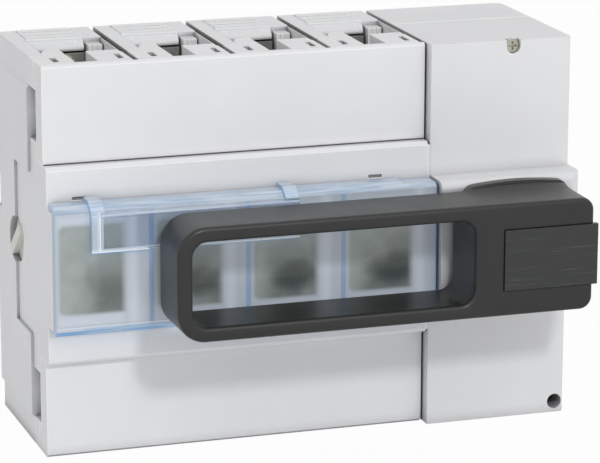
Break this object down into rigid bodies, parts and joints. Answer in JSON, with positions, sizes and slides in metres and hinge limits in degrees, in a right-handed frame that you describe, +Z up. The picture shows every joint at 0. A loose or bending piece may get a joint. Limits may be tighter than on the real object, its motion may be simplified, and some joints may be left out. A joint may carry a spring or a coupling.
{
  "type": "switch disconnector",
  "caption": "Front-operated panel switch disconnector with a row of poles, clear window cover and a dark loop handle.",
  "frame": {"origin": "middle of the rear mounting face of the case", "axes": "+X along the poles towards the mechanism, +Y into the mounting plate, +Z up; the handle is on the -Y side"},
  "size_m": [0.1946, 0.1086, 0.1401],
  "materials": {
    "case_plastic": "fine matt light grey",
    "handle_plastic": "fine matt dark grey",
    "slide_plastic": "dark grey, lightly scratched",
    "shaft_plastic": "cream moulding",
    "clear_plastic": "clear with a blue cast at the edges",
    "plated_steel": "zinc plated",
    "steel": "plain",
    "bush_brass": "turned",
    "copper": "copper with silver contact faces",
    "chute": "steel splitter plates in fibre cheeks"
  },
  "bodies": {
    "case": {"rear_base": "case_plastic", "front_housing": "case_plastic", "top_terminal_cover": "case_plastic", "bottom_terminal_cover": "case_plastic", "window_cover": "clear_plastic", "window_slide": "clear_plastic", "mechanism_base": "case_plastic", "mechanism_cover": "case_plastic", "cover_screw": "plated_steel", "spindle_bush": "bush_brass", "toggle_spring": "steel", "case_screws": "steel", "side_screws": "steel", "terminal_bolts_top": "plated_steel", "terminal_bolts_bottom": "plated_steel", "fixed_contact_top_1": "copper", "fixed_contact_top_2": "copper", "fixed_contact_top_3": "copper", "fixed_contact_top_4": "copper", "fixed_contact_bottom_1": "copper", "fixed_contact_bottom_2": "copper", "fixed_contact_bottom_3": "copper", "fixed_contact_bottom_4": "copper", "arc_chute_top_1": "chute", "arc_chute_top_2": "chute", "arc_chute_top_3": "chute", "arc_chute_top_4": "chute", "arc_chute_bottom_1": "chute", "arc_chute_bottom_2": "chute", "arc_chute_bottom_3": "chute", "arc_chute_bottom_4": "chute"},
    "handle_set": {"handle": "handle_plastic", "handle_screw": "steel", "spindle": "steel", "drive_disc": "steel"},
    "lock": {"lock_slide": "slide_plastic"},
    "yoke": {"drive_slide": "steel"},
    "contact_set": {"contact_shaft": "shaft_plastic", "shaft_lever": "steel", "moving_contact_1": "copper", "moving_contact_2": "copper", "moving_contact_3": "copper", "moving_contact_4": "copper"}
  },
  "joints": [
    {"name": "handle_turn", "type": "hinge", "parent": "case", "child": "handle_set", "pos_m": [0.07, -0.085, 0], "axis": [0, 1, 0], "range_deg": [0, 90], "deforming": ["toggle_spring"]},
    {"name": "lock_pull", "type": "slide", "parent": "handle_set", "child": "lock", "axis": [1, 0, 0], "range_m": [0, 0.011]},
    {"name": "yoke_travel", "type": "slide", "parent": "case", "child": "yoke", "axis": [0, 0, 1], "range_m": [0, 0.01415]},
    {"name": "shaft_turn", "type": "hinge", "parent": "case", "child": "contact_set", "pos_m": [0, -0.0266, 0], "axis": [-1, 0, 0], "range_deg": [0, 50]}
  ],
  "couplings": [
    {"joint": "yoke_travel", "follows": "handle_turn", "m_per_rad": 0.0090032},
    {"joint": "shaft_turn", "follows": "handle_turn", "ratio": 0.55555}
  ]
}
